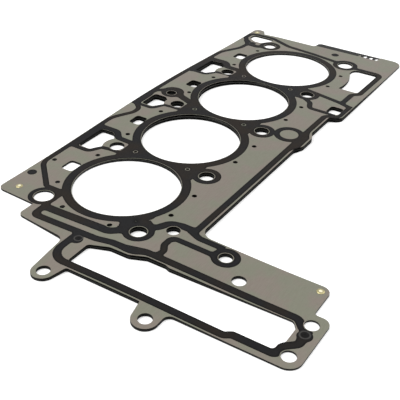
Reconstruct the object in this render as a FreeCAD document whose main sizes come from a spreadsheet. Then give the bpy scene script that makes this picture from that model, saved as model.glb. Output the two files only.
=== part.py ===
import FreeCAD
import Part
import math
import os

from FreeCAD import Vector

# Cylinder head gasket of a four-cylinder engine, laid flat.
# Origin: axis of bore 1 at the steel underside. X runs along the bores, Y across them to the
# exhaust-side long edge, Z up. All sizes are in millimetres.
#
# Three steel sheets lie on each other: a beaded sheet below, a thicker carrier with four stopper
# rings, and a beaded sheet on top. Three rivets join them near the corners. Between the rivets
# the loose sheets stand apart a few millimetres, as they do before the gasket is clamped.

DIMENSIONS = (
    # bores and bolts
    ("bore_pitch", 91.0),
    ("bore_diameter", 84.6),
    ("bolt_row", 44.2),
    ("bolt_hole", 12.6),
    ("dowel_hole", 15.2),
    # sheets
    ("beaded_sheet", 0.3),
    ("carrier_sheet", 0.75),
    ("stopper_sheet", 0.12),
    ("stopper_width", 3.2),
    ("print_height", 0.09),
    # how far the loose sheets stand apart
    ("bow_middle", 3.6),
    ("bow_arm", 2.9),
    ("bow_carrier", 0.45),
    # block outline
    ("exhaust_edge", 81.3),
    ("intake_edge", 81.6),
    ("sump_edge", 91.6),
    ("front_edge", 57.0),
    ("far_edge", 75.0),
    ("far_tab", 11.5),
    ("corner_round", 6.0),
    # chain case arm
    ("rail_edge", 104.3),
    ("arm_edge", 24.0),
    ("arm_end", 196.8),
    ("shoulder_end", 184.0),
    ("cover_hole", 9.8),
    ("ear_wall", 3.7),
    ("arm_hole", 10.2),
    # chain slot
    ("rail_width", 6.8),
    ("front_wall", 8.6),
    ("slot_start", 23.6),
    ("end_wall", 16.4),
    # coolant and oil passages
    ("window_length", 13.8),
    ("window_width", 11.4),
    ("window_row", 55.6),
    ("port_edge", 72.6),
    ("port_foot", 54.0),
    ("port_gap", 6.2),
    ("drain_hole", 9.0),
    ("gallery_radius", 63.4),
    ("vent_hole", 4.0),
    ("meter_hole", 2.0),
    ("cooling_hole", 3.0),
    ("mark_hole", 4.0),
    # printed seal bands
    ("bore_band", 7.2),
    ("edge_band", 4.0),
    ("slot_band", 5.6),
    ("ring_band", 4.6),
    ("hole_rim", 0.9),
    ("bore_rim", 0.5),
    # rivets
    ("rivet_shank", 3.6),
    ("rivet_head", 5.6),
    ("rivet_flange", 0.2),
    ("rivet_dome", 0.45),
)

doc = FreeCAD.newDocument("head_gasket")
sheet = doc.addObject("Spreadsheet::Sheet", "Sizes")
for row, (alias, value) in enumerate(DIMENSIONS, 1):
    sheet.set("A%d" % row, alias)
    sheet.set("B%d" % row, str(value))
    sheet.setAlias("B%d" % row, alias)
doc.recompute()


def size(alias):
    return float(sheet.get(alias))


PITCH = size("bore_pitch")
BORE_COUNT = 4
BORE_R = size("bore_diameter") / 2
BOLT_ROW = size("bolt_row")
EXHAUST = size("exhaust_edge")
INTAKE = -size("intake_edge")
SUMP = -size("sump_edge")
RAIL = -size("rail_edge")
ARM = -size("arm_edge")
ARM_END = -size("arm_end")
SHOULDER = -size("shoulder_end")
SLOT_OUTER = RAIL + size("rail_width")
SLOT_INNER = -size("front_edge") - size("front_wall")
SLOT_END = ARM_END + size("end_wall")
FAR = (BORE_COUNT - 1) * PITCH + size("far_edge")
TAB = FAR + size("far_tab")
RIM = size("hole_rim")
INTAKE_SHIFT = (0, 2.3, 1.1, 0.6)

# heights of the closed stack
CARRIER_Z = size("beaded_sheet")
STOPPER_Z = CARRIER_Z + size("carrier_sheet")
TOP_Z = STOPPER_Z + size("stopper_sheet")
PRINT_Z = TOP_Z + size("beaded_sheet")


def bore_x(index):
    return index * PITCH


def bolt_x(index):
    return (index - 0.5) * PITCH


def moved(points, dx, dy=0.0):
    return [(x + dx, y + dy, r) for x, y, r in points]


# Plane outlines

def corner(before, here, after, radius):
    """The two tangent points and the middle of the arc that rounds one corner."""
    a = before - here
    b = after - here
    angle = a.getAngle(b)
    reach = 0.5 * min(a.Length, b.Length)
    if radius < 0.01 or angle < 0.02 or angle > math.pi - 0.02:
        return None
    cut = min(radius / math.tan(angle / 2), reach)
    radius = cut * math.tan(angle / 2)
    a.normalize()
    b.normalize()
    middle = (a + b).normalize()
    centre = here + middle * (radius / math.sin(angle / 2))
    return here + a * cut, centre - middle * radius, here + b * cut


def face(points):
    """A flat face whose corners are (x, y, rounding radius)."""
    at = [Vector(x, y, 0) for x, y, _ in points]
    count = len(points)
    edges = []
    arcs = [corner(at[i - 1], at[i], at[(i + 1) % count], points[i][2]) for i in range(count)]
    for i in range(count):
        following = arcs[(i + 1) % count]
        start = arcs[i][2] if arcs[i] else at[i]
        end = following[0] if following else at[(i + 1) % count]
        if arcs[i]:
            edges.append(Part.Arc(*arcs[i]).toShape())
        if start.distanceToPoint(end) > 1e-6:
            edges.append(Part.LineSegment(start, end).toShape())
    return Part.Face(Part.Wire(edges))


def column(plan):
    """A plan face as a block that reaches past every sheet."""
    low = size("print_height") + 1
    high = PRINT_Z + size("bow_middle") + size("bow_arm") + 2
    return plan.translated(Vector(0, 0, -low)).extrude(Vector(0, 0, low + high))


def disc(x, y, radius):
    circle = Part.Circle(Vector(x, y, 0), Vector(0, 0, 1), radius)
    return Part.Face(Part.Wire(circle.toShape()))


def box(x, y, length, width, radius):
    half_l = length / 2
    half_w = width / 2
    return face([(x - half_l, y - half_w, radius), (x + half_l, y - half_w, radius),
                 (x + half_l, y + half_w, radius), (x - half_l, y + half_w, radius)])


def band(points, width):
    """A band of one width along a route of (x, y, bend radius), square at both ends."""
    at = [Vector(x, y, 0) for x, y, _ in points]
    half = width / 2
    sides = ([], [])
    for i, here in enumerate(at):
        into = (here - at[i - 1]).normalize() if i else None
        out = (at[i + 1] - here).normalize() if i + 1 < len(at) else None
        into = into or out
        out = out or into
        normal = Vector(-into.y - out.y, into.x + out.x, 0).normalize()
        spread = half / normal.dot(Vector(-into.y, into.x, 0))
        turn = math.copysign(1, into.cross(out).z)
        radius = points[i][2]
        left = max(radius - turn * half, 0.3) if radius else 0
        right = max(radius + turn * half, 0.3) if radius else 0
        sides[0].append((here.x + normal.x * spread, here.y + normal.y * spread, left))
        sides[1].append((here.x - normal.x * spread, here.y - normal.y * spread, right))
    return face(sides[0] + sides[1][::-1])


def ear(x, y, radius, start, end):
    """Three corners whose arcs go round one centre, between two angles in degrees."""
    step = math.radians(end - start) / 3
    far = radius / math.cos(step / 2)
    turns = [math.radians(start) + step * (k + 0.5) for k in range(3)]
    return [(x + far * math.cos(turn), y + far * math.sin(turn), radius) for turn in turns]


# Outline of the sheets

def outline(beside_tab):
    """The edge of a sheet, from the front exhaust corner round by the arm to the far end."""
    front = -size("front_edge")
    turn = size("corner_round")
    shelf = 0.535 * EXHAUST
    wall = size("ear_wall") + size("cover_hole") / 2
    (upper_x, upper_y), (lower_x, lower_y) = cover_places()[:2]
    return [
        (front + 0.8, EXHAUST, turn),
        (front - 0.8, shelf, 1),
        (front - 17, shelf, 5),
        (front - 22.5, upper_y + 13, 7),
    ] + ear(upper_x, upper_y, wall, 95, 258) + [
        (RAIL, upper_y - 11, 2),
        (RAIL, lower_y + 12, 1),
    ] + ear(lower_x, lower_y, wall + 0.4, 96, 270) + [
        (RAIL, lower_y - wall - 0.4, 5),
        (RAIL, ARM_END, 9.5),
        (ARM - 28.4, ARM_END, 9.8),
        (ARM - 28.4, SHOULDER, 2.5),
        (ARM, SHOULDER, 6.5),
        (ARM, INTAKE, 10),
        (bolt_x(2) - 10, INTAKE, 6),
        (bolt_x(2) - 4, INTAKE - 4.2, 6),
        (bolt_x(2) + 14.5, INTAKE - 4.2, 8),
        (bolt_x(2) + 22.5, INTAKE, 6),
        (bolt_x(3) - 31, INTAKE, 5),
        (bolt_x(3) - 28.7, SUMP, 6),
    ] + beside_tab + [
        (FAR, 6, 1),
        (FAR, 50, 30),
        (FAR - 1.6, 67, 1.5),
    ] + ear(FAR + 0.8, EXHAUST - 6.6, 6.6, -65, 90)


def lower_outline():
    """The two lower sheets reach out in a tab at the far end."""
    return outline([(TAB, SUMP, 11), (TAB, 4.5, 4), (FAR, 4.5, 1)])


def top_outline():
    """The top sheet ends short of the tab, and is notched where the thickness marks are."""
    inner = FAR + 2.3
    return outline([
        (TAB, SUMP, 11),
        (TAB, -67, 1.5),
        (inner, -66.5, 1),
        (inner, -48.5, 1),
        (inner + 5, -46.7, 0.6),
        (inner, -44.7, 1),
        (inner, 4.5, 1),
    ])


# Openings, the same in all three sheets but for the small metering holes

def chain_slot():
    outer = SLOT_OUTER
    inner = SLOT_INNER
    start = -size("slot_start")
    end = SLOT_END
    return face([
        (outer, start, 2),
        (inner - 10.9, start, 3),
        (inner - 5.2, start - 15, 6),
        (inner - 5.2, start - 30.5, 6),
        (inner, start - 42.5, 5),
        (inner, start - 57.5, 2),
        (inner - 1.3, start - 61, 2),
        (inner + 0.4, end + 4, 4),
        (inner - 4.9, end, 4),
        (outer + 13, end, 4),
        (outer + 9, end + 3, 3),
        (outer + 3.7, end + 3, 4),
        (outer + 3.7, end + 30.5, 3),
        (outer, end + 34.5, 3),
    ])


def beside_bolt(port, index):
    """A port hollowed round the bolt next to it."""
    return port.cut(disc(bolt_x(index), BOLT_ROW, size("bolt_hole") / 2 + size("port_gap")))


def coolant_port(index):
    edge = size("port_edge")
    foot = size("port_foot")
    return beside_bolt(face(moved([
        (-16.2, edge, 3), (-16.2, foot + 6.6, 3), (-7, foot, 2.5),
        (10.4, foot, 2), (16.2, foot + 6.2, 3), (16.2, edge, 3),
    ], bolt_x(index))), index)


def middle_port():
    edge = size("port_edge")
    foot = size("port_foot")
    return beside_bolt(face(moved([
        (-16.6, edge, 3), (-16.6, foot + 7.4, 4), (-8.2, foot, 2),
        (1.4, foot + 2.2, 3), (5.6, foot + 6.6, 3), (5.6, edge, 3),
    ], bolt_x(2))), 2)


def far_port():
    return face(moved([
        (8.2, 74, 4), (2.4, 64.6, 4), (2.4, 56.8, 3), (14.4, 48.6, 2), (18.8, 50.2, 3), (18.8, 74, 4),
    ], bolt_x(BORE_COUNT)))


def gallery():
    """The long oil return beside bore 4, hollowed along a circle about that bore."""
    left = bore_x(3) - 12.6
    right = bore_x(3) + 40.5
    low = SUMP + 9.4
    plain = face([(left, low, 4), (right, low, 4), (right, low + 26, 6.5), (left, low + 26, 1)])
    return plain.cut(disc(bore_x(3), 0, size("gallery_radius")))


def meter_places():
    places = [(0, EXHAUST - 8.2), (-49.3, 22.5), (-50, -22)]
    for i in range(BORE_COUNT):
        places.append((bore_x(i) - 15.8 + INTAKE_SHIFT[i], -51.8))
        places.append((bore_x(i) + 15.8 + INTAKE_SHIFT[i], -51.8))
        places.append((bore_x(i) - (18.6 if i == 2 else 24.6), 48.6))
        places.append((bore_x(i) + 25, 48.4))
    return places


def cooling_places():
    return [(bolt_x(i) + 0.8, side * 25.7) for i in range(1, BORE_COUNT) for side in (-1, 1)]


def cover_places():
    """The chain cover's bolt holes: two in ears beyond the rail and two at the arm's end."""
    return [(RAIL - 10, -17), (RAIL - 10.9, -99.9), (RAIL + 10.3, ARM_END + 9.3), (ARM - 38.4, ARM_END + 9.5)]


def arm_places():
    return [(ARM - 6.8, -64), (ARM - 11.6, -110), (ARM - 27.1, -129.3)]


def drain_place():
    return (bolt_x(2) + 16, 61.5)


def window_places():
    return [(bore_x(i) + 0.3, size("window_row")) for i in range(BORE_COUNT)]


def bolt_places():
    """Ten bolt holes, of which two, at opposite ends, are wider for the dowels."""
    plain = size("bolt_hole") / 2
    dowel = size("dowel_hole") / 2
    places = []
    for i in range(BORE_COUNT + 1):
        for side in (-1, 1):
            with_dowel = (i == 0 and side == 1) or (i == BORE_COUNT and side == -1)
            places.append((bolt_x(i), side * BOLT_ROW, dowel if with_dowel else plain))
    return places


def round_places(small):
    """Every round hole but the bores, as (x, y, radius), with the metering holes of one size."""
    places = bolt_places()
    places += [(x, y, small / 2) for x, y in meter_places()]
    places += [(x, y, size("cooling_hole") / 2) for x, y in cooling_places()]
    places += [(x, y, size("cover_hole") / 2) for x, y in cover_places()]
    places += [(x, y, size("arm_hole") / 2) for x, y in arm_places()]
    places.append(drain_place() + (size("drain_hole") / 2,))
    return places


def windows(margin=0.0):
    length = size("window_length") + 2 * margin
    width = size("window_width") + 2 * margin
    faces = [box(x, y, length, width, 2.8 + margin) for x, y in window_places()]
    faces.append(box(bolt_x(3) - 16.2, SUMP + 11.6, length + 1, width + 1, 3 + margin))
    return faces


def ports():
    return [coolant_port(1), middle_port(), coolant_port(3), far_port(), gallery(), chain_slot()]


def openings(small):
    faces = [disc(bore_x(i), 0, BORE_R) for i in range(BORE_COUNT)]
    faces += [disc(x, y, radius) for x, y, radius in round_places(small)]
    return faces + windows() + ports()


def rivet_places():
    return {
        "front": (-size("front_edge") + 11.5, EXHAUST - 12.4),
        "far": (FAR - 1.5, EXHAUST - 5.9),
        "arm": (ARM - 5.8, SHOULDER + 6),
    }


def rivet_holes():
    return [disc(x, y, size("rivet_shank") / 2) for x, y in rivet_places().values()]


# Printed seal bands

def bore_print():
    """Bands round the bores, which run together between them, and round the bolts."""
    faces = []
    for i in range(BORE_COUNT):
        faces.append(disc(bore_x(i), 0, BORE_R + size("bore_band")))
    for i in range(1, BORE_COUNT):
        faces.append(box(bolt_x(i), 0, 24.6, 2 * (BOLT_ROW - 7.4), 0))
    for i in range(BORE_COUNT):
        faces.append(disc(bolt_x(i), -BOLT_ROW, size("bolt_hole") / 2 + 5))
    faces.append(disc(bolt_x(0), BOLT_ROW, size("dowel_hole") / 2 + 4))
    faces.append(disc(bolt_x(BORE_COUNT), -BOLT_ROW, size("dowel_hole") / 2 + 4.8))
    faces.append(disc(bolt_x(BORE_COUNT), BOLT_ROW, size("bolt_hole") / 2 + 4.7))
    return faces


def exhaust_print():
    """The line along the exhaust edge, with the loops that take in the coolant ports."""
    width = size("edge_band")
    row = EXHAUST - 2.9
    front = bolt_x(0) + 12
    dip = bore_x(1) + 14
    faces = [
        band([(front, 34, 0), (front, 52, 3), (-8, row, 14), (dip - 23, row, 22), (dip - 4, row - 10.4, 10),
              (dip + 5, row - 10.4, 9), (dip + 13, row, 8), (bore_x(3) - 2, row, 26),
              (bore_x(3) + 22, row - 10.6, 24), (bore_x(3) + 39, row - 11.6, 0)], width),
    ]
    near_side = [(-19.2, row, 0), (-19.2, 59.4, 5), (-8.8, 53.6, 3), (-7.4, 46, 8), (-7.4, 36, 0)]
    for i, wide in ((1, 5.4), (3, 7.2)):
        faces.append(box(bolt_x(i) + 0.6, row - 2, 43, 7.8, 1))
        faces.append(band(moved(near_side, bolt_x(i) + (0 if i == 1 else 1.2)), 3.9))
        reach = 16.8 + wide / 2
        far_side = [(reach, row, 0), (reach, 58.6, 7), (11.4, 51.4, 5), (10.6, 36, 0)]
        faces.append(band(moved(far_side, bolt_x(i)), wide))
    faces.append(box(bolt_x(2) - 4, row - 0.4, 35, 5.4, 1))
    faces.append(band(moved([(-19.6, row, 0), (-19.6, 59, 5), (-8.6, 53.2, 3), (-7.6, 45, 8), (-7.6, 36, 0)],
                            bolt_x(2)), 3.4))
    x, y = drain_place()
    faces.append(band([(x - 12, row, 0), (x - 4, row - 2, 9), (x + 8, y + 3, 0)], width + 0.6))
    faces.append(disc(x + 2, y, size("drain_hole") / 2 + 6))
    faces.append(band([(x + 5, y - 4, 0), (x - 0.6, y - 10.6, 6), (bolt_x(2) + 9.4, 36, 0)], 6.8))
    return faces


def far_print():
    """Round the far coolant port and down beside bore 4 to the dowel."""
    width = size("edge_band") + 0.6
    column = bolt_x(BORE_COUNT)
    row = EXHAUST - 2.9
    return [
        band(moved([(-9.5, row - 11.6, 0), (2, row - 3.6, 6), (8, row + 0.4, 5), (20, row + 0.4, 5),
                    (22.4, row - 8, 5), (22.4, 52, 12), (11.4, 27, 24), (8, -4, 40), (2.6, -34, 0)], column), width),
        band(moved([(0, row - 5, 0), (-9, row - 14, 5), (-9.4, 55, 6), (-4, 48, 0)], column), 6.4),
    ]


def front_print():
    """The double line between bore 1 and the chain slot."""
    return [
        band([(bolt_x(0) + 9, 34.8, 0), (-60, 34.8, 0)], 4),
        box(bolt_x(0) + 10.4, 36.4, 7.4, 6, 1),
        disc(bolt_x(0) + 4.8, -31.4, 5.8),
        band([(-56, 35, 0), (-56, -26, 7), (-48, -36, 0)], 7.2),
        band([(-56, 33.8, 0), (-68, 33.8, 6), (-68, -12, 0)], size("slot_band")),
    ]


def slot_print():
    """The line round the chain slot, with a pad at each end of it."""
    width = size("slot_band")
    outer = SLOT_OUTER - 2.6
    inner = SLOT_INNER + 4
    end = SLOT_END
    low = end - 7.4
    inner_side = [
        (-68, 0, 0), (-68, -24, 12), (inner - 4, -36, 12), (inner - 4, -46, 12), (inner, -62, 12),
        (inner, end + 2.6, 7), (-68, low + 4, 3), (-69, low, 3), (-76, low, 0),
    ]
    outer_side = [
        (-72, low, 0), (-82, low, 4), (-88.4, end - 0.4, 4), (outer + 3, end + 0.4, 6),
        (outer + 3, end + 29.5, 4), (outer, end + 34, 4), (outer, -9.4, 13), (-67, -9.4, 0),
    ]
    return [
        band(inner_side, width),
        band(outer_side, width),
        disc(-76, -13.6, 4.1),
        disc(-73.6, low, 4.8),
    ]


def arm_print():
    """The oil line from the slot to the arm and back to bore 1."""
    width = size("ring_band")
    x, y = arm_places()[1]
    return [
        band([(-62, -70.4, 0), (-54, -71.6, 5), (-48, -68, 5), (x - 2.5, -68, 6), (x - 2.5, y + 6, 0)], width),
        disc(x, y, size("arm_hole") / 2 + 5),
        band([(x + 7.6, y + 6, 0), (x + 7.6, -84, 8), (ARM, -74, 0)], 5),
        band([(bolt_x(0) + 8, -40, 0), (-34.6, -52, 6), (ARM - 0.6, -57.4, 7), (ARM + 1.4, -66, 5),
              (ARM + 1.4, INTAKE + 3, 0)], 6.6),
        band([(bolt_x(0) + 4, -44, 0), (bolt_x(0) + 14.6, -39.4, 0)], 12),
    ]


def intake_print():
    """The line along the intake edge to the far dowel."""
    width = size("edge_band") + 0.7
    row = INTAKE + 4.1
    low = SUMP + 2.4
    column = bolt_x(3)
    sump = SUMP + 7
    return [
        band([(ARM - 0.8, row, 0), (column - 32, row, 5), (column - 26.6, low, 6), (column - 2, low, 7),
              (column + 2.6, -76, 8), (column + 8, -50, 20), (column + 10.6, -36, 0)], width),
        band(moved([(-8.6, -34, 0), (-9, -46, 7), (-14.6, -54, 7), (-25.4, -58.6, 5), (-25.4, -84, 0)], column), 4.4),
        box(column - 13, low + 0.6, 28, 4, 1),
        band([(column + 1, row - 1.6, 0), (column + 26, row - 1.6, 5), (column + 31.6, sump, 5),
              (bolt_x(4) - 1.9, sump, 7), (bolt_x(4) - 1.9, -52, 0)], 4.8),
        disc(bolt_x(2) + 8.4, -66.6, 13),
    ]


def dots():
    return [disc(-24.6, EXHAUST - 6.4, 3.5), disc(FAR - 9.4, -24, 3.6)]


def print_column():
    """All bands as one tall block, with a bare rim left round every opening."""
    faces = bore_print() + exhaust_print() + far_print() + front_print()
    faces += slot_print() + arm_print() + intake_print()
    bare = [disc(bore_x(i), 0, BORE_R + size("bore_rim")) for i in range(BORE_COUNT)]
    bare += [disc(x, y, radius + RIM) for x, y, radius in round_places(size("vent_hole"))]
    bare += windows(RIM / 2) + ports()
    bare.append(disc(bolt_x(2) + 8.4, -66.6, 13 - size("ring_band")))
    blocks = [column(plan) for plan in faces + dots()]
    return blocks[0].multiFuse(blocks[1:]).cut([column(plan) for plan in bare]).removeSplitter()


# Sheets and bands as solids

def bump(value, middle, reach):
    share = min(abs(value - middle) / reach, 1)
    return math.cos(math.pi / 2 * share) ** 2


def lift(x, y):
    """How far the top sheet stands off: a ridge across bores 2 and 3 and a hump where the arm starts."""
    ridge = bump(x + 0.06 * y, 1.8 * PITCH, 2.05 * PITCH) * (1 + 0.2 * y / EXHAUST)
    hump = bump(x, ARM - 3.8, 1.85 * PITCH) * bump(y, -58, 110)
    return size("bow_middle") * ridge + size("bow_arm") * hump


def bowed_slab(height, thickness, share):
    """A thin slab over the whole plan whose faces follow the lift."""
    step = 22.0
    low_x = RAIL - 30
    low_y = ARM_END - 10
    columns = int((TAB + 20 - low_x) / step) + 2
    rows = int((EXHAUST + 15 - low_y) / step) + 2
    grid = []
    for i in range(columns):
        x = low_x + i * step
        line = [low_y + j * step for j in range(rows)]
        grid.append([Vector(x, y, height + share * lift(x, y)) for y in line])
    surface = Part.BSplineSurface()
    knots = [list(range(count - 2)) for count in (columns, rows)]
    turns = [[4] + [1] * (count - 4) + [4] for count in (columns, rows)]
    surface.buildFromPolesMultsKnots(grid, turns[0], turns[1], knots[0], knots[1], False, False, 3, 3)
    return surface.toShape().extrude(Vector(0, 0, thickness))


def feature(name, shape):
    made = doc.addObject("Part::Feature", name)
    made.Label = name
    made.Shape = shape
    made.Placement = FreeCAD.Placement()
    return made


def holed(plan, small, extra):
    return face(plan).cut(openings(small) + rivet_holes() + extra)


def tidy(shape):
    solids = shape.Solids
    return solids[0] if len(solids) == 1 else Part.makeCompound(solids)


def build_sheets():
    marks = [disc(FAR + 4, SUMP + 26.6 + step * 6.5, size("mark_hole") / 2) for step in range(3)]
    lower_plan = holed(lower_outline(), size("meter_hole"), marks)
    plan = doc.addObject("Part::Feature", "lower_plan")
    plan.Shape = lower_plan
    bottom = doc.addObject("Part::Extrusion", "bottom_layer")
    bottom.Base = plan
    bottom.DirMode = "Custom"
    bottom.Dir = Vector(0, 0, 1)
    bottom.Solid = True
    bottom.setExpression("LengthFwd", "Sizes.beaded_sheet")
    bottom.Label = "bottom_layer"
    carrier = column(lower_plan).common(bowed_slab(CARRIER_Z, size("carrier_sheet"), size("bow_carrier")))
    top = column(holed(top_outline(), size("vent_hole"), [])).common(bowed_slab(TOP_Z, size("beaded_sheet"), 1))
    return [bottom, feature("carrier_layer", tidy(carrier)), feature("top_layer", tidy(top))]


def build_stoppers():
    rings = []
    for i in range(BORE_COUNT):
        plan = disc(bore_x(i), 0, BORE_R + size("stopper_width")).cut(disc(bore_x(i), 0, BORE_R))
        ring = column(plan).common(bowed_slab(STOPPER_Z, size("stopper_sheet"), size("bow_carrier")))
        rings.append(feature("stopper_ring_%d" % (i + 1), tidy(ring)))
    return rings


def flat_slab(height, thickness):
    """A thin flat slab under the whole plan."""
    low = Vector(RAIL - 30, ARM_END - 10, height)
    return Part.makeBox(TAB + 20 - low.x, EXHAUST + 15 - low.y, thickness, low)


def build_prints():
    block = print_column()
    height = size("print_height")
    upper = block.common(bowed_slab(PRINT_Z, height, 1))
    lower = block.common(flat_slab(-height, height))
    return [feature("top_seal_print", tidy(upper)), feature("bottom_seal_print", tidy(lower))]


def build_rivets():
    rivets = []
    for name, (x, y) in rivet_places().items():
        shank = doc.addObject("Part::Cylinder", "shank_" + name)
        shank.setExpression("Radius", "Sizes.rivet_shank / 2")
        shank.setExpression("Height", "Sizes.beaded_sheet * 2 + Sizes.carrier_sheet + Sizes.stopper_sheet")
        foot = doc.addObject("Part::Cylinder", "foot_" + name)
        foot.setExpression("Radius", "Sizes.rivet_head / 2")
        foot.setExpression("Height", "Sizes.rivet_flange")
        foot.setExpression("Placement.Base.z", "-Sizes.rivet_flange")
        head = doc.addObject("Part::Cone", "head_" + name)
        head.setExpression("Radius1", "Sizes.rivet_head / 2")
        head.setExpression("Radius2", "Sizes.rivet_shank / 2")
        head.setExpression("Height", "Sizes.rivet_dome")
        head.setExpression("Placement.Base.z", "Sizes.beaded_sheet * 2 + Sizes.carrier_sheet + Sizes.stopper_sheet")
        rivet = doc.addObject("Part::MultiFuse", "rivet_" + name)
        rivet.Shapes = [shank, foot, head]
        rivet.Label = "rivet_" + name
        rivet.Placement = FreeCAD.Placement(Vector(x, y, 0), FreeCAD.Rotation())
        rivets.append(rivet)
    return rivets


def check(nodes):
    doc.recompute()
    for thing in doc.Objects:
        if "Invalid" in thing.State or "Error" in thing.State:
            raise RuntimeError(thing.Name + " failed: " + str(thing.State))
    for node in nodes:
        if node.Shape.isNull() or not node.Shape.isValid():
            raise RuntimeError(node.Label + " has no valid shape")


nodes = build_sheets() + build_stoppers() + build_prints() + build_rivets()
check(nodes)
os.makedirs("parts", exist_ok=True)
for node in nodes:
    node.Shape.exportStep("parts/" + node.Label + ".step")
    print(node.Label, len(node.Shape.Solids), round(node.Shape.Volume, 2))
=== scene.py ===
import bisect
import contextlib
import math

import bmesh
import bpy
from mathutils import Matrix, Vector
from mathutils.bvhtree import BVHTree
from mathutils.geometry import delaunay_2d_cdt


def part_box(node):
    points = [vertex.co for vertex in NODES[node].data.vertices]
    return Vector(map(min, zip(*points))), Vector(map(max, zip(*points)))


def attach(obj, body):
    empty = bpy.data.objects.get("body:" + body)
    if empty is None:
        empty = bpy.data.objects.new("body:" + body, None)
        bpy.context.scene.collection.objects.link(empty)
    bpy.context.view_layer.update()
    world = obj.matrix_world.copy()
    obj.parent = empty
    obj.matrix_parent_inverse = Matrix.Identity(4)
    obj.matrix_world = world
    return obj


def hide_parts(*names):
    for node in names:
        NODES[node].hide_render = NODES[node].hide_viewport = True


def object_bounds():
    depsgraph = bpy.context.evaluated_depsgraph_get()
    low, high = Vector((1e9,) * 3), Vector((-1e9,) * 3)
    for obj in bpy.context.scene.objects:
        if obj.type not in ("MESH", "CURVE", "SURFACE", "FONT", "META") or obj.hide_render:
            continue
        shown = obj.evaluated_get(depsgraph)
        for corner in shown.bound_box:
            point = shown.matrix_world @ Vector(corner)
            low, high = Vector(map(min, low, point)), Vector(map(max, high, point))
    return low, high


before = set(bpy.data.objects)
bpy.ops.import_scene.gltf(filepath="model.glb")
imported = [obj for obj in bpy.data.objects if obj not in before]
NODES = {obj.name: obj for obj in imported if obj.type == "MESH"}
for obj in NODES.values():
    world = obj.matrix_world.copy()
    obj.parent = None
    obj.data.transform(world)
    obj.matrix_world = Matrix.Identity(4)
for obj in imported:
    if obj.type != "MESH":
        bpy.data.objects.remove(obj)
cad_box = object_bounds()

MM = 0.001

# Photograph's viewpoint, as calibrated: place of the lens, direction of view and roll
LENS_PLACE = Vector((-405.6, -312.5, 325.0)) * MM
VIEW_AZIMUTH = math.radians(58.754)
VIEW_DROP = math.radians(33.206)
VIEW_ROLL = math.radians(1.898)
FOCAL_LENGTH = 70.22
SENSOR_WIDTH = 36.0

# Colours of the finishes, linear
WHITE = (1, 1, 1, 1)
BLACK = (0, 0, 0, 1)
STEEL_OLIVE = (0.200, 0.200, 0.153, 1)
STEEL_MAUVE = (0.220, 0.188, 0.160, 1)
STEEL_LIGHT = (0.285, 0.280, 0.238, 1)
COAT_BLACK = (0.011, 0.011, 0.010, 1)
COAT_WORN = (0.028, 0.027, 0.024, 1)
# Painted shade on the sheets' cut edges: nearly black, with faint drag marks
CUT_SHADE_BLACK = (0.004, 0.004, 0.004, 1)
CUT_SHADE_DARK = (0.013, 0.013, 0.012, 1)
# Painted shade, black, at a band's edge, and the lighter colours of its crown in two random tones, which stand
# for a painted highlight along the crest
PRINT_EDGE_SHADE = (0.002, 0.002, 0.002, 1)
PRINT_COOL = (0.010, 0.010, 0.011, 1)
PRINT_WARM = (0.016, 0.012, 0.009, 1)
# Painted highlight on a button's raised lip
PRINT_LIP_HIGHLIGHT = (0.05, 0.049, 0.046, 1)
STOPPER_GREY = (0.20, 0.20, 0.19, 1)
# Painted highlight in the middle of each rivet's head, over brass tones
BRASS_HIGHLIGHT = (0.95, 0.90, 0.66, 1)
BRASS_DARK = (0.52, 0.46, 0.24, 1)
BRASS_DULL = (0.30, 0.27, 0.145, 1)
FLOOR_WHITE = (0.86, 0.86, 0.855, 1)

# Colour sockets of a Mix node, found by number because their names repeat
MIX_FIRST, MIX_SECOND, MIX_RESULT = 6, 7, 2

# Upright share of a normal from which a surface counts as a face and not as a cut edge
FACE_SHARE = 0.5

# Angle from which an edge is shaded as sharp
SHARP_EDGE = math.radians(35)

# Distances within which two points are made one, in metres: on turned pieces and on sheets
TURNED_WELD = 1e-7
SHEET_WELD = 1e-6

# Studio: half the floor's side in metres, the world's light on the part, the floor's own glow for the camera,
# and for each soft box its place from the part's middle, its width and its power
FLOOR_HALF = 6.0
WORLD_LIGHT = 0.45
FLOOR_GLOW = 0.42
SOFT_BOXES = (
    ("key_box", (-0.7, 0.9, 1.5), 1.4, 26),
    ("fill_box", (1.1, -0.9, 1.3), 1.6, 14),
)

# The two prints: name of the piece, its CAD node, the sheet it lies on, and 1 on top of it or -1 under it
SEALS = (
    ("seal_bands_top", "top_seal_print", "top_layer", 1),
    ("seal_bands_under", "bottom_seal_print", "bottom_layer", -1),
)

# Section of a seal band, in millimetres: distance in from its edge and height over the sheet
SEAL_SECTION = ((0.0, 0.020), (0.3, 0.066), (0.8, 0.085), (1.8, 0.056), (3.0, 0.060))

# Distance from its edge at which a band has the full colour of its crown, where the painted shade of the edge
# has turned into the painted highlight of the crown
HIGHLIGHT_REACH = 1.6

# Points of a band's mesh, in millimetres: the rows inside its edge, the share of that distance which their
# points keep from any edge, the step along the edge, the grid in wide places, its distance from the edge, and
# how near to each other two points in plan are made one
SEAL_INSETS = (0.3, 0.8, 1.8)
INSET_SHARE = 0.94
SEAL_STEP = 1.5
SEAL_GRID = 6.0
GRID_MARGIN = 2.6
PLAN_TOLERANCE = 1e-5

# Where the sheet under a band's edge is measured: how far inside the edge, in millimetres, and where no ray
# meets the sheet there, the height in metres from which its nearest point is taken
PROBE_INSET = 0.06
PROBE_HEIGHT = 0.006

# How far the print runs past its drawn edge, in millimetres: elsewhere, round a bore, and round a small hole,
# and the widths by which a bore and a small hole are known
BLEED = 0.35
BORE_BLEED = 0.08
VENT_BLEED = 0.32
BORE_WIDTH = (80, 90)
VENT_WIDTH = 6

# Limits of the print: in millimetres its far edge, just inside the sheet's on the exhaust side, and in metres
# its top
PRINT_MARGIN = 0.1
PRINT_FAR = cad_box[1][1] / MM - PRINT_MARGIN
PRINT_TOP = cad_box[1][2]

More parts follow.
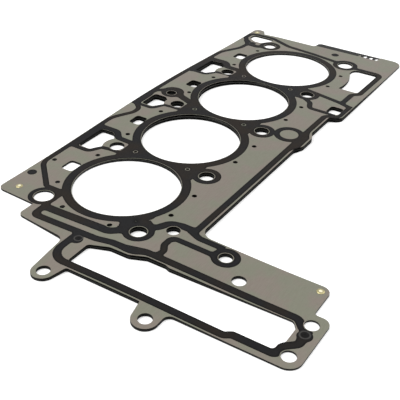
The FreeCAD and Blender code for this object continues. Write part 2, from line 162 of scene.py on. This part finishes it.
# Bends at a band's sharp corners, in millimetres: how far from the corner the edge starts to bend where two
# bands meet and at a tip, how far a bend keeps from the points beside it, and the shortest loop that has bends
INNER_EASE = 2.6
OUTER_EASE = 0.9
EASE_GAP = 0.05
EASED_LENGTH = 12

# The turn that makes a corner sharp, the most that a bend takes up of the way to the next sharp corner, its
# steps, and the least length that a side of the loop counts as
SHARP_TURN = math.radians(22)
EASE_SHARE = 0.45
EASE_STEPS = 4
NO_LENGTH = 1e-9

# Places where a band's edge is drawn over to where the photograph shows it, in millimetres: the middle of the
# place, its half width and half depth, and how far the edge moves there. They are the band beside the wide end
# of the chain slot, the ends of the two bays of bare steel beside the bolt at the arm's corner, the band over
# the middle port, the band round the small port on the intake side, and the band along the bulge on that side.
NUDGES = (
    ((-67.0, -55.0), (5.5, 12.0), (-2.4, 0.0)),
    ((-46.9, -31.0), (3.5, 4.5), (0.0, 2.8)),
    ((-29.0, -40.0), (9.0, 4.5), (0.3, -2.4)),
    ((-28.6, -44.9), (3.0, 3.0), (-1.7, 0.0)),
    ((129.0, 75.3), (20.0, 4.5), (0.0, -1.6)),
    ((208.0, -93.0), (24.0, 5.0), (0.6, 1.5)),
    ((139.0, -79.8), (22.0, 4.0), (0.0, -4.2)),
)

# How steeply a move fades in across its place: above 1, more than the very middle moves by the whole amount
NUDGE_GAIN = 1.6

# Pressed buttons under the print: name, place in plan in millimetres, and scale of the section
BUTTONS = (
    ("seal_button_arm", (-72.6, -187.4), 1.0),
    ("seal_button_slot", (-74.4, -13.7), 0.9),
    ("seal_button_far", (313.9, 64.0), 0.9),
)

# Section of a button, in millimetres from its axis and over the sheet, and the radii where its lip gets a
# painted highlight
BUTTON_SECTION = (
    (0.0, 0.09), (0.7, 0.10), (1.1, 0.17), (1.5, 0.17), (1.9, 0.09), (2.6, 0.09), (2.95, 0.18),
    (3.3, 0.215), (3.6, 0.18), (3.95, 0.10), (4.4, 0.08), (4.5, 0.0), (0.0, 0.0),
)
BUTTON_LIP = (2.9, 3.65)
BUTTON_SIDES = 40

# Section of a rivet, in millimetres from its axis and over the underside of the lowest sheet
RIVET_SECTION = (
    (0.0, 1.74), (0.5, 1.745), (0.85, 1.79), (1.1, 1.87), (1.45, 1.915), (1.9, 1.90), (2.35, 1.80),
    (2.68, 1.64), (2.8, 1.50), (2.76, 1.473), (1.79, 1.471), (1.79, 0.002), (2.74, -0.001),
    (2.79, -0.05), (2.72, -0.14), (2.4, -0.185), (1.2, -0.195), (0.0, -0.195),
)
RIVET_SIDES = 48

# Thickness marks, slots with round ends through the lower sheets at the far end, in millimetres: the line of
# each, where they end, half their width, the heights between which they are cut, and the steps of a round end
MARK_ROWS = (-65.0, -58.5, -52.0)
MARK_ENDS = (349.6, 358.2)
MARK_HALF = 2.05
MARK_CUT = (-3, 6)
MARK_STEPS = 8


# Node helpers

def new_material(name):
    material = bpy.data.materials.new(name)
    material.use_nodes = True
    tree = material.node_tree
    shader = tree.nodes["Principled BSDF"]
    return material, tree, shader


def set_inputs(node, **values):
    """Sets a node's inputs by name, with _ for a space."""
    for key, value in values.items():
        node.inputs[key.replace("_", " ")].default_value = value


def plain(tree, colour):
    node = tree.nodes.new("ShaderNodeRGB")
    node.outputs[0].default_value = colour
    return node.outputs[0]


def attribute(tree, name):
    node = tree.nodes.new("ShaderNodeAttribute")
    node.attribute_name = name
    return node.outputs["Fac"]


def worked_out(tree, operation, *sources):
    """The result of a Math node, whose sources are sockets or numbers."""
    node = tree.nodes.new("ShaderNodeMath")
    node.operation = operation
    for entry, source in zip(node.inputs, sources):
        if isinstance(source, float):
            entry.default_value = source
        else:
            tree.links.new(source, entry)
    return node.outputs[0]


def place_in_part(tree, stretch=(1, 1, 1)):
    """Object coordinates in millimetres, stretched along each axis."""
    coordinates = tree.nodes.new("ShaderNodeTexCoord")
    mapping = tree.nodes.new("ShaderNodeMapping")
    set_inputs(mapping, Scale=[share / MM for share in stretch])
    tree.links.new(coordinates.outputs["Object"], mapping.inputs["Vector"])
    return mapping.outputs["Vector"]


def noise(tree, vector, scale, detail, roughness=0.55):
    node = tree.nodes.new("ShaderNodeTexNoise")
    set_inputs(node, Scale=scale, Detail=detail, Roughness=roughness)
    tree.links.new(vector, node.inputs["Vector"])
    return node.outputs["Fac"]


def ramp(tree, source, low, high, start, end):
    node = tree.nodes.new("ShaderNodeValToRGB")
    for element, colour, position in zip(node.color_ramp.elements, (low, high), (start, end)):
        element.position = position
        element.color = colour
    tree.links.new(source, node.inputs["Fac"])
    return node.outputs["Color"]


def blend_colours(tree, factor, first, second):
    node = tree.nodes.new("ShaderNodeMix")
    node.data_type = "RGBA"
    tree.links.new(factor, node.inputs["Factor"])
    tree.links.new(first, node.inputs[MIX_FIRST])
    tree.links.new(second, node.inputs[MIX_SECOND])
    return node.outputs[MIX_RESULT]


def spread(tree, source, low, high):
    """A value from 0 to 1 drawn out to run from low to high."""
    node = tree.nodes.new("ShaderNodeMapRange")
    set_inputs(node, To_Min=low, To_Max=high)
    tree.links.new(source, node.inputs["Value"])
    return node.outputs["Result"]


def bump(tree, shader, height, distance, strength):
    node = tree.nodes.new("ShaderNodeBump")
    set_inputs(node, Strength=strength, Distance=distance)
    tree.links.new(height, node.inputs["Height"])
    tree.links.new(node.outputs["Normal"], shader.inputs["Normal"])


# Finishes

def on_cut_edge(tree):
    """1 on a sheet's upright cut edge and 0 on its faces."""
    geometry = tree.nodes.new("ShaderNodeNewGeometry")
    parts = tree.nodes.new("ShaderNodeSeparateXYZ")
    tree.links.new(geometry.outputs["True Normal"], parts.inputs[0])
    upright = worked_out(tree, "ABSOLUTE", parts.outputs["Z"])
    return worked_out(tree, "LESS_THAN", upright, FACE_SHARE)


def shorn_with_painted_shade(tree):
    """A punched edge painted nearly black as shade, with faint upright drag marks."""
    drag = noise(tree, place_in_part(tree, stretch=(1, 1, 5)), scale=1.1, detail=4)
    return ramp(tree, drag, CUT_SHADE_BLACK, CUT_SHADE_DARK, start=0.36, end=0.60)


def steel_finish():
    """Cold rolled spring steel: soft warm blotches, a fine rolled grain and cut edges painted dark as shade.
    """
    material, tree, shader = new_material("rolled_steel")
    at = place_in_part(tree)
    blotch = noise(tree, at, scale=0.045, detail=4)
    colour = ramp(tree, blotch, STEEL_OLIVE, STEEL_MAUVE, start=0.42, end=0.58)
    grain = noise(tree, place_in_part(tree, stretch=(0.12, 1.6, 1)), scale=1.4, detail=5)
    mottle = spread(tree, grain, low=-0.20, high=0.50)
    face = blend_colours(tree, mottle, colour, plain(tree, STEEL_LIGHT))
    cut = on_cut_edge(tree)
    wear = noise(tree, at, scale=0.6, detail=4)
    tree.links.new(blend_colours(tree, cut, face, shorn_with_painted_shade(tree)), shader.inputs["Base Color"])
    tree.links.new(spread(tree, cut, low=0.75, high=0.0), shader.inputs["Metallic"])
    tree.links.new(spread(tree, wear, low=0.34, high=0.52), shader.inputs["Roughness"])
    set_inputs(shader, Specular_IOR_Level=0.12)
    bump(tree, shader, grain, distance=0.04 * MM, strength=0.35)
    return material


def coat_finish():
    """Steel with a black rubber coating: satin and lightly scuffed, with cut edges painted dark as shade."""
    material, tree, shader = new_material("coated_sheet")
    at = place_in_part(tree)
    scuff = noise(tree, at, scale=0.5, detail=6, roughness=0.65)
    face = ramp(tree, scuff, COAT_BLACK, COAT_WORN, start=0.50, end=0.78)
    pebble = noise(tree, at, scale=4.0, detail=3)
    tree.links.new(blend_colours(tree, on_cut_edge(tree), face, shorn_with_painted_shade(tree)), shader.inputs["Base Color"])
    tree.links.new(spread(tree, scuff, low=0.42, high=0.66), shader.inputs["Roughness"])
    set_inputs(shader, Specular_IOR_Level=0.15)
    bump(tree, shader, pebble, distance=0.03 * MM, strength=0.4)
    return material


def print_finish():
    """Finely pebbled elastomer: painted shade black at its edges, a painted highlight greyer on its crown and
    a painted highlight on a button's lip.
    """
    material, tree, shader = new_material("printed_elastomer")
    at = place_in_part(tree)
    blotch = noise(tree, at, scale=0.022, detail=3)
    # The crown's two tones are lighter than the edge, as a painted highlight
    crown = ramp(tree, blotch, PRINT_COOL, PRINT_WARM, start=0.44, end=0.62)
    wear = spread(tree, noise(tree, at, scale=0.35, detail=4), low=0.6, high=1.3)
    # The distance in from the edge, made patchy by noise, takes the band from painted shade to the painted
    # highlight
    height = worked_out(tree, "MULTIPLY", attribute(tree, "crown"), wear)
    ink = blend_colours(tree, height, plain(tree, PRINT_EDGE_SHADE), crown)
    # A button's lip gets the painted highlight
    colour = blend_colours(tree, attribute(tree, "lip"), ink, plain(tree, PRINT_LIP_HIGHLIGHT))
    gloss = noise(tree, at, scale=1.2, detail=4)
    pebble = noise(tree, at, scale=2.6, detail=4)
    tree.links.new(colour, shader.inputs["Base Color"])
    tree.links.new(spread(tree, gloss, low=0.46, high=0.70), shader.inputs["Roughness"])
    set_inputs(shader, Specular_IOR_Level=0.08)
    bump(tree, shader, pebble, distance=0.04 * MM, strength=0.4)
    return material


def stopper_finish():
    """Bare bright spring steel of the stopper rings."""
    material, tree, shader = new_material("bare_steel")
    wear = noise(tree, place_in_part(tree, stretch=(1, 1, 4)), scale=0.8, detail=5)
    colour = ramp(tree, wear, COAT_WORN, STOPPER_GREY, start=0.30, end=0.75)
    tree.links.new(colour, shader.inputs["Base Color"])
    tree.links.new(spread(tree, wear, low=0.30, high=0.48), shader.inputs["Roughness"])
    set_inputs(shader, Metallic=1.0)
    return material


def brass_finish():
    """Pressed brass of the rivets: a painted highlight bright in the middle of the head and dull olive towards
    its rim.
    """
    material, tree, shader = new_material("rivet_brass")
    brass_mottle = noise(tree, place_in_part(tree), scale=0.9, detail=4)
    dull = ramp(tree, brass_mottle, BRASS_DULL, BRASS_DARK, start=0.30, end=0.70)
    highlight = ramp(tree, brass_mottle, BRASS_DARK, BRASS_HIGHLIGHT, start=0.20, end=0.45)
    # The middle of the head, out to about half its radius, gets the painted highlight
    middle = ramp(tree, attribute(tree, "crown"), WHITE, BLACK, start=0.30, end=0.52)
    tree.links.new(blend_colours(tree, middle, dull, highlight), shader.inputs["Base Color"])
    tree.links.new(spread(tree, brass_mottle, low=0.26, high=0.44), shader.inputs["Roughness"])
    set_inputs(shader, Metallic=0.85)
    return material


# Mesh and object helpers

@contextlib.contextmanager
def editing(mesh):
    """The mesh as a bmesh, written back when the block ends."""
    solid = bmesh.new()
    solid.from_mesh(mesh)
    yield solid
    solid.to_mesh(mesh)
    solid.free()


def smooth(mesh):
    """Smooth shading, except over sharp edges."""
    mesh.shade_smooth()
    mesh.set_sharp_from_angle(angle=SHARP_EDGE)


def put_in(name, data):
    """A new object in the scene."""
    thing = bpy.data.objects.new(name, data)
    bpy.context.collection.objects.link(thing)
    return thing


def add_piece(name, mesh, slot, *nodes):
    """A piece of the part, which stands for the CAD nodes that are named."""
    piece = put_in(name, mesh)
    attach(piece, "root")
    if nodes:
        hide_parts(*nodes)


def tree_of(node):
    """A CAD node's faces, to be met by rays."""
    mesh = node.data
    return BVHTree.FromPolygons([v.co for v in mesh.vertices], [tuple(p.vertices) for p in mesh.polygons])


def seen_from(tree, point, side):
    """Height of the face that a vertical ray meets at a plan point, or None."""
    hit = tree.ray_cast(Vector((point.x * MM, point.y * MM, side)), Vector((0, 0, -side)))[0]
    return hit.z if hit else None


# Edges of a seal band, as closed loops of plan points in millimetres with the print on the left

def outer_loops(mesh, side):
    """The edges of a print's outer face."""
    halves = set()
    for polygon in mesh.polygons:
        if polygon.normal.z * side < FACE_SHARE:
            continue
        corners = [tuple(mesh.vertices[index].co.xy / MM) for index in polygon.vertices][::side]
        halves.update(zip(corners, corners[1:] + corners[:1]))
    following = {}
    for start, end in halves:
        if (end, start) not in halves:
            following.setdefault(start, []).append(end)
    loops = []
    while following:
        first = here = next(iter(following))
        loop = []
        while here in following:
            loop.append(Vector(here))
            ends = following[here]
            onward = ends.pop()
            if not ends:
                del following[here]
            here = onward
        if here == first and len(loop) > 2:
            loops.append(loop)
    return loops


def turn_at(loop, index):
    """How far the edge turns at a corner, left being positive."""
    into = loop[index] - loop[index - 1]
    out = loop[(index + 1) % len(loop)] - loop[index]
    return math.atan2(into.x * out.y - into.y * out.x, into.dot(out))


def along(loop, places, distance):
    """The point at a distance along a loop."""
    distance %= places[-1]
    index = min(bisect.bisect_right(places, distance) - 1, len(loop) - 1)
    share = (distance - places[index]) / max(places[index + 1] - places[index], NO_LENGTH)
    return loop[index].lerp(loop[(index + 1) % len(loop)], share)


def bends(loop, places):
    """For each sharp corner its place along the loop, how far the bend reaches each way, and its index."""
    corners = []
    for index in range(len(loop)):
        turn = turn_at(loop, index)
        if abs(turn) > SHARP_TURN:
            corners.append((places[index], INNER_EASE if turn < 0 else OUTER_EASE, index))
    spans = []
    for k, (place, reach, index) in enumerate(corners):
        before = (place - corners[k - 1][0]) % places[-1] or places[-1]
        after = (corners[(k + 1) % len(corners)][0] - place) % places[-1] or places[-1]
        spans.append((place, min(reach, EASE_SHARE * before, EASE_SHARE * after), index))
    return spans


def eased(loop):
    """The loop with its sharp corners drawn as short curves, wider where two bands meet than at a tip."""
    places = [0.0]
    for start, end in zip(loop, loop[1:] + loop[:1]):
        places.append(places[-1] + (end - start).length)
    spans = bends(loop, places)
    if not spans or places[-1] < EASED_LENGTH:
        return loop
    points = []
    for k, (place, reach, index) in enumerate(spans):
        start, end = along(loop, places, place - reach), along(loop, places, place + reach)
        corner = loop[index]
        for step in range(EASE_STEPS + 1):
            share = step / EASE_STEPS
            points.append(start.lerp(corner, share).lerp(corner.lerp(end, share), share))
        next_place, next_reach, _ = spans[(k + 1) % len(spans)]
        low, high = place + reach, next_place - next_reach
        if high <= low:
            high += places[-1]
        for lap in (0.0, places[-1]):
            points += [corner for corner, place in zip(loop, places)
                       if low + EASE_GAP < place + lap < high - EASE_GAP]
    return points


def resampled(loop):
    """The loop with points added so that no step is longer than SEAL_STEP."""
    points = []
    for start, end in zip(loop, loop[1:] + loop[:1]):
        parts = max(1, math.ceil((end - start).length / SEAL_STEP))
        points += [start.lerp(end, k / parts) for k in range(parts)]
    return points


def inward(points, index):
    """The direction from the edge into the print."""
    course = points[(index + 1) % len(points)] - points[index - 1]
    return Vector((-course.y, course.x)).normalized()


def nudge(point):
    """How far a band's edge is drawn over at a plan point."""
    shift = Vector((0, 0))
    for place, reach, move in NUDGES:
        fades = [math.cos(math.pi / 2 * min(abs(point[k] - place[k]) / reach[k], 1)) ** 2 for k in (0, 1)]
        shift += Vector(move) * min(fades[0] * NUDGE_GAIN, 1) * fades[1]
    return shift


def bled(loop):
    """The loop moved out to where the print ends, with a fine bare line left round each opening."""
    width = max(point.x for point in loop) - min(point.x for point in loop)
    reach = BLEED
    if BORE_WIDTH[0] < width < BORE_WIDTH[1]:
        reach = BORE_BLEED
    elif width < VENT_WIDTH:
        reach = VENT_BLEED
    moved = []
    for index, point in enumerate(loop):
        end = point - inward(loop, index) * reach + nudge(point)
        end.y = min(end.y, PRINT_FAR)
        moved.append(end)
    return moved


# Seal bands with a rounded edge and a shallow channel along their middle

def plan_wall(loops):
    """Upright strips over the loops, from which a plan point's distance to the nearest edge is read."""
    corners, strips = [], []
    for loop in loops:
        start, count = len(corners) // 2, len(loop)
        for point in loop:
            corners += [(point.x, point.y, -1), (point.x, point.y, 1)]
        for k in range(count):
            here, following = 2 * (start + k), 2 * (start + (k + 1) % count)
            strips.append((here, following, following + 1, here + 1))
    return BVHTree.FromPolygons(corners, strips)


def edge_distance(wall, point):
    return wall.find_nearest(Vector((point.x, point.y, 0)))[3]


def section_height(distance):
    """Height of a band over the sheet at a distance from its edge, in millimetres."""
    for (near, low), (far, high) in zip(SEAL_SECTION, SEAL_SECTION[1:]):
        if distance <= far:
            return low + (high - low) * (distance - near) / (far - near)
    return SEAL_SECTION[-1][1]


def seal_points(loops, wall, printed, side):
    """Edge points, rows inside them and a grid in wide places, and where the sheet is measured for each."""
    points = [point for loop in loops for point in loop]
    probes = [loop[k] + inward(loop, k) * PROBE_INSET for loop in loops for k in range(len(loop))]
    inner = []
    for inset in SEAL_INSETS:
        for loop in loops:
            row = [loop[k] + inward(loop, k) * inset for k in range(len(loop))]
            inner += [point for point in row if edge_distance(wall, point) > INSET_SHARE * inset]
    low = [min(point[axis] for point in points) for axis in (0, 1)]
    high = [max(point[axis] for point in points) for axis in (0, 1)]
    for column in range(int((high[0] - low[0]) / SEAL_GRID) + 1):
        for row in range(int((high[1] - low[1]) / SEAL_GRID) + 1):
            point = Vector((low[0] + column * SEAL_GRID, low[1] + row * SEAL_GRID))
            if edge_distance(wall, point) > GRID_MARGIN and seen_from(printed, point, side) is not None:
                inner.append(point)
    return points + inner, probes + inner


def ring_edges(loops):
    """Pairs of numbers of the points that each loop joins."""
    edges, start = [], 0
    for loop in loops:
        count = len(loop)
        edges += [(start + k, start + (k + 1) % count) for k in range(count)]
        start += count
    return edges


def on_print(plan, triangles, fences, printed, side):
    """The triangles of the regions between fences that lie for the most part on the CAD print."""
    beside = {}
    for index, triangle in enumerate(triangles):
        for a, b in zip(triangle, triangle[1:] + triangle[:1]):
            beside.setdefault((min(a, b), max(a, b)), []).append(index)
    neighbours = [[] for _ in triangles]
    for edge, pair in beside.items():
        if len(pair) == 2 and edge not in fences:
            neighbours[pair[0]].append(pair[1])
            neighbours[pair[1]].append(pair[0])
    seen, kept = set(), []
    for first in range(len(triangles)):
        if first in seen:
            continue
        seen.add(first)
        region, covered, total = [first], 0.0, 0.0
        for here in region:
            fresh = [other for other in neighbours[here] if other not in seen]
            seen.update(fresh)
            region += fresh
            a, b, c = (plan[k] for k in triangles[here])
            area = abs((b - a).cross(c - a))
            total += area
            if seen_from(printed, (a + b + c) / 3, side) is not None:
                covered += area
        if covered > total / 2:
            kept += region
    return kept


def closed_faces(uppers, total):
    """The upper triangles, the same ones below them, and upright faces round their rims."""
    faces, rims = [], {}
    for upper in uppers:
        faces.append(upper)
        faces.append(tuple(total + k for k in upper)[::-1])
        for a, b in zip(upper, upper[1:] + upper[:1]):
            if rims.pop((b, a), None) is None:
                rims[(a, b)] = (b, a, total + a, total + b)
    return faces + list(rims.values())


def seal_mesh(name, print_node, sheet_node, side):
    """A print's bands on their sheet, on its upper side for 1 and its underside for -1."""
    loops = [bled(resampled(eased(loop))) for loop in outer_loops(print_node.data, side)]
    wall, printed, sheet = plan_wall(loops), tree_of(print_node), tree_of(sheet_node)
    points, probes = seal_points(loops, wall, printed, side)
    plan, links, triangles, sources, link_sources, _ = delaunay_2d_cdt(
        points, ring_edges(loops), [], 0, PLAN_TOLERANCE)
    fences = {(min(link), max(link)) for link, found in zip(links, link_sources) if found}
    feet, crowns, highlight_shares = [], [], []
    for index, point in enumerate(plan):
        probe = probes[sources[index][0]] if sources[index] else point
        ground = seen_from(sheet, probe, side)
        if ground is None:
            ground = sheet.find_nearest(Vector((probe.x * MM, probe.y * MM, side * PROBE_HEIGHT)))[0].z
        distance = edge_distance(wall, point)
        crown = min(ground + side * section_height(distance) * MM, PRINT_TOP)
        feet.append(Vector((point.x * MM, point.y * MM, ground)))
        crowns.append(Vector((point.x * MM, point.y * MM, crown)))
        # Each point's share of the way in to the crown, for the finish's painted shade at the edge and painted
        # highlight on the crown
        highlight_shares.append(min(distance / HIGHLIGHT_REACH, 1.0))
    uppers = [tuple(triangles[index])[::side] for index in on_print(plan, triangles, fences, printed, side)]
    mesh = bpy.data.meshes.new(name)
    mesh.from_pydata(crowns + feet, [], closed_faces(uppers, len(plan)))
    with editing(mesh) as solid:
        level = solid.verts.layers.float.new("crown")
        for vertex, share in zip(solid.verts, highlight_shares + highlight_shares):
            vertex[level] = share
        loose = [vertex for vertex in solid.verts if not vertex.link_faces]
        bmesh.ops.delete(solid, geom=loose, context="VERTS")
    smooth(mesh)
    return mesh


def build_seals(material):
    for name, print_name, sheet_name, side in SEALS:
        mesh = seal_mesh(name, NODES[print_name], NODES[sheet_name], side)
        mesh.materials.append(material)
        add_piece(name, mesh, "seal_print", print_name)


# Turned pieces: the buttons under the print, and the rivets with a rolled head and a dimple

def turned(name, centre, base, section, sides):
    """A section in millimetres turned about an upright axis. Its crown is each point's share of the radius."""
    corners, faces = [], []
    rows = len(section)
    for k in range(sides):
        turn = 2 * math.pi * k / sides
        for radius, height in section:
            corners.append((centre.x + radius * MM * math.cos(turn), centre.y + radius * MM * math.sin(turn),
                            base + height * MM))
        onward = (k + 1) % sides
        for row in range(rows - 1):
            faces.append((k * rows + row, k * rows + row + 1, onward * rows + row + 1, onward * rows + row))
    mesh = bpy.data.meshes.new(name)
    mesh.from_pydata(corners, [], faces)
    with editing(mesh) as solid:
        bmesh.ops.remove_doubles(solid, verts=solid.verts, dist=TURNED_WELD)
        bmesh.ops.dissolve_degenerate(solid, edges=solid.edges, dist=TURNED_WELD)
        bmesh.ops.recalc_face_normals(solid, faces=solid.faces)
    rim = max(radius for radius, _ in section) * MM
    share = mesh.attributes.new("crown", "FLOAT", "POINT")
    share.data.foreach_set("value", [(vertex.co.xy - centre.xy).length / rim for vertex in mesh.vertices])
    mesh.shade_smooth()
    return mesh


def build_buttons(material):
    sheet = tree_of(NODES["top_layer"])
    for name, place, scale in BUTTONS:
        centre = Vector((place[0], place[1], 0)) * MM
        section = [(radius * scale, height) for radius, height in BUTTON_SECTION]
        mesh = turned(name, centre, seen_from(sheet, Vector(place), 1), section, BUTTON_SIDES)
        # Where the finish paints a highlight on the lip
        lip = mesh.attributes.new("lip", "FLOAT", "POINT")
        inner, outer = (radius * scale * MM for radius in BUTTON_LIP)
        lip.data.foreach_set("value", [inner < (v.co.xy - centre.xy).length < outer for v in mesh.vertices])
        mesh.materials.append(material)
        add_piece(name, mesh, "seal_print")


def build_rivets(material):
    for node_name in [name for name in NODES if name.startswith("rivet")]:
        name = "set_" + node_name
        low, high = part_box(node_name)
        mesh = turned(name, (Vector(low) + Vector(high)) / 2, 0.0, RIVET_SECTION, RIVET_SIDES)
        mesh.materials.append(material)
        add_piece(name, mesh, "rivet_brass", node_name)


# Sheets with the thickness marks punched through

def mark_cutter():
    """Upright slots with round ends, one for each mark."""
    corners, faces = [], []
    for row in MARK_ROWS:
        ring = []
        for end, way in zip(MARK_ENDS, (-1, 1)):
            for step in range(MARK_STEPS + 1):
                turn = math.pi * (step / MARK_STEPS - 0.5)
                across, beside = way * MARK_HALF * (math.cos(turn) - 1), way * MARK_HALF * math.sin(turn)
                ring.append((end + across, row + beside))
        start, count = len(corners), len(ring)
        corners += [(x * MM, y * MM, z * MM) for z in MARK_CUT for x, y in ring]
        faces.append(tuple(range(start, start + count)))
        faces.append(tuple(range(start + count, start + 2 * count)))
        faces += [(start + k, start + (k + 1) % count, start + count + (k + 1) % count, start + count + k)
                  for k in range(count)]
    mesh = bpy.data.meshes.new("mark_cutter")
    mesh.from_pydata(corners, [], faces)
    with editing(mesh) as solid:
        bmesh.ops.recalc_face_normals(solid, faces=solid.faces)
    return put_in("mark_cutter", mesh)


def build_sheets(material):
    cutter = mark_cutter()
    for node_name, name in (("bottom_layer", "lower_sheet"), ("carrier_layer", "carrier_sheet")):
        mesh = NODES[node_name].data.copy()
        with editing(mesh) as solid:
            bmesh.ops.remove_doubles(solid, verts=solid.verts, dist=SHEET_WELD)
        blank = put_in("blank", mesh)
        cut = blank.modifiers.new("marks", "BOOLEAN")
        cut.operation = "DIFFERENCE"
        cut.solver = "EXACT"
        cut.object = cutter
        bpy.context.view_layer.update()
        evaluated = blank.evaluated_get(bpy.context.evaluated_depsgraph_get())
        punched = bpy.data.meshes.new_from_object(evaluated)
        bpy.data.objects.remove(blank)
        punched.materials.clear()
        punched.materials.append(material)
        punched.polygons.foreach_set("material_index", [0] * len(punched.polygons))
        smooth(punched)
        add_piece(name, punched, "coated_steel", node_name)
    bpy.data.objects.remove(cutter)


def dress(names, material):
    """Gives CAD nodes that stay visible their finish."""
    for name in names:
        materials = NODES[name].data.materials
        materials.clear()
        materials.append(material)


def build_part():
    coat, ink = coat_finish(), print_finish()
    dress(["top_layer"], steel_finish())
    dress([name for name in NODES if name.startswith("stopper_ring")], stopper_finish())
    build_seals(ink)
    build_buttons(ink)
    build_rivets(brass_finish())
    build_sheets(coat)


# Studio

def white_for_the_camera(tree, dim, white):
    """White where the camera, a mirror or glass looks, and dim for the light that falls on the part."""
    path = tree.nodes.new("ShaderNodeLightPath")
    seen = path.outputs["Is Camera Ray"]
    for name in ("Is Glossy Ray", "Is Transmission Ray"):
        seen = worked_out(tree, "MAXIMUM", seen, path.outputs[name])
    return spread(tree, seen, dim, white)


def build_world():
    world = bpy.data.worlds.new("studio")
    world.use_nodes = True
    tree = world.node_tree
    background = tree.nodes["Background"]
    set_inputs(background, Color=WHITE)
    tree.links.new(white_for_the_camera(tree, WORLD_LIGHT, 1.0), background.inputs["Strength"])
    bpy.context.scene.world = world


def build_floor(height):
    mesh = bpy.data.meshes.new("floor")
    corners = [(x * FLOOR_HALF, y * FLOOR_HALF, height) for x, y in ((-1, -1), (1, -1), (1, 1), (-1, 1))]
    mesh.from_pydata(corners, [], [(0, 1, 2, 3)])
    floor = put_in("floor", mesh)
    material, tree, shader = new_material("paper_sweep")
    set_inputs(shader, Base_Color=FLOOR_WHITE, Roughness=0.9, Specular_IOR_Level=0.1, Emission_Color=WHITE)
    tree.links.new(white_for_the_camera(tree, 0.0, FLOOR_GLOW), shader.inputs["Emission Strength"])
    mesh.materials.append(material)


def build_lights(middle):
    for name, offset, width, power in SOFT_BOXES:
        lamp = bpy.data.lights.new(name, "AREA")
        lamp.shape = "SQUARE"
        lamp.size = width
        lamp.energy = power
        place = middle + Vector(offset)
        light = put_in(name, lamp)
        light.location = place
        light.rotation_euler = (middle - place).to_track_quat("-Z", "Y").to_euler()


def build_camera():
    ahead = Vector((math.sin(VIEW_AZIMUTH) * math.cos(VIEW_DROP),
                    math.cos(VIEW_AZIMUTH) * math.cos(VIEW_DROP),
                    -math.sin(VIEW_DROP)))
    level = ahead.cross(Vector((0, 0, 1))).normalized()
    upright = level.cross(ahead)
    right = level * math.cos(VIEW_ROLL) + upright * math.sin(VIEW_ROLL)
    up = right.cross(ahead)
    camera = bpy.data.cameras.new("camera")
    camera.sensor_width = SENSOR_WIDTH
    camera.lens = FOCAL_LENGTH
    eye = put_in("camera", camera)
    turn = Matrix((right, up, -ahead)).transposed()
    eye.matrix_world = Matrix.Translation(LENS_PLACE) @ turn.to_4x4()
    bpy.context.scene.camera = eye


build_part()
low, high = (Vector(corner) for corner in cad_box)
build_world()
build_floor(low.z)
build_lights((low + high) / 2)
build_camera()
bpy.context.scene.view_settings.view_transform = "Standard"
